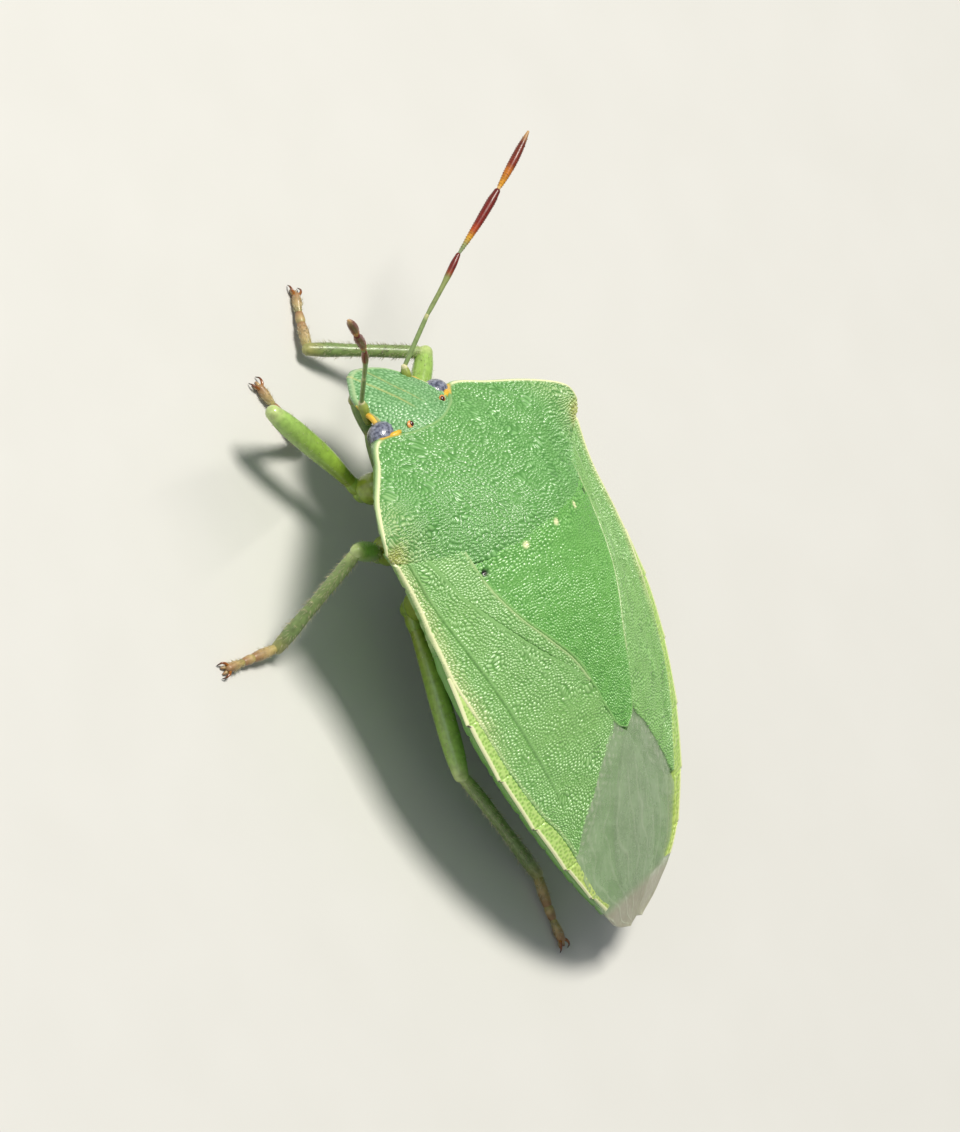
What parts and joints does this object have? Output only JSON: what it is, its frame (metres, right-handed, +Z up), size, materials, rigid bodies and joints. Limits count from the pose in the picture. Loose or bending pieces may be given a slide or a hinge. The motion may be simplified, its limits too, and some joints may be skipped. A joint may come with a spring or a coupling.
{
  "type": "shield bug",
  "caption": "Green shield bug, life size, standing on its feet with folded wings, raised feelers and a broad pitted shield-shaped back.",
  "frame": {"origin": "on the floor, under the middle of the whole insect, feelers and feet included", "axes": "+X to the insect's own left, +Y toward its tail (the head looks toward -Y), +Z up"},
  "size_m": [0.0132, 0.0168, 0.007],
  "materials": {
    "shell": "fine-pitted green cuticle, satin",
    "scutellum": "fine-pitted emerald cuticle, satin",
    "corium": "fine-pitted pale green leathery wing",
    "membrane": "clear grey wing membrane over green, glossy",
    "rim": "yellow-green abdomen edge with cream rim",
    "belly": "smooth green cuticle, satin",
    "eye": "blue-grey compound eye, glossy",
    "femur": "yellow-green cuticle, glossy",
    "tibia": "grey-green cuticle with fine bristles",
    "tarsus": "tan cuticle with dark claw tips",
    "feeler": "olive green cuticle",
    "feeler_dark": "red-brown cuticle with yellow bases"
  },
  "bodies": {
    "root": {"abdomen": "belly", "antenna_left_1": "feeler", "antenna_left_2": "feeler", "antenna_left_3": "feeler", "antenna_left_4": "feeler_dark", "antenna_left_5": "feeler_dark", "antenna_right_1": "feeler", "antenna_right_2": "feeler", "antenna_right_3": "feeler", "antenna_right_4": "feeler_dark", "antenna_right_5": "feeler_dark", "clavus_left": "corium", "clavus_right": "corium", "connexivum_left": "rim", "connexivum_right": "rim", "corium_left": "corium", "corium_right": "corium", "coxa_left_front": "femur", "coxa_left_hind": "femur", "coxa_left_middle": "femur", "coxa_right_front": "femur", "coxa_right_hind": "femur", "coxa_right_middle": "femur", "eye_left": "eye", "eye_right": "eye", "femur_left_front": "femur", "femur_left_hind": "femur", "femur_left_middle": "femur", "femur_right_front": "femur", "femur_right_hind": "femur", "femur_right_middle": "femur", "head": "shell", "membrane_left": "membrane", "membrane_right": "membrane", "pronotum": "shell", "prothorax": "belly", "pterothorax": "belly", "rostrum": "femur", "scutellum": "scutellum", "tarsus_left_front": "tarsus", "tarsus_left_hind": "tarsus", "tarsus_left_middle": "tarsus", "tarsus_right_front": "tarsus", "tarsus_right_hind": "tarsus", "tarsus_right_middle": "tarsus", "tibia_left_front": "tibia", "tibia_left_hind": "tibia", "tibia_left_middle": "tibia", "tibia_right_front": "tibia", "tibia_right_hind": "tibia", "tibia_right_middle": "tibia"}
  },
  "joints": []
}
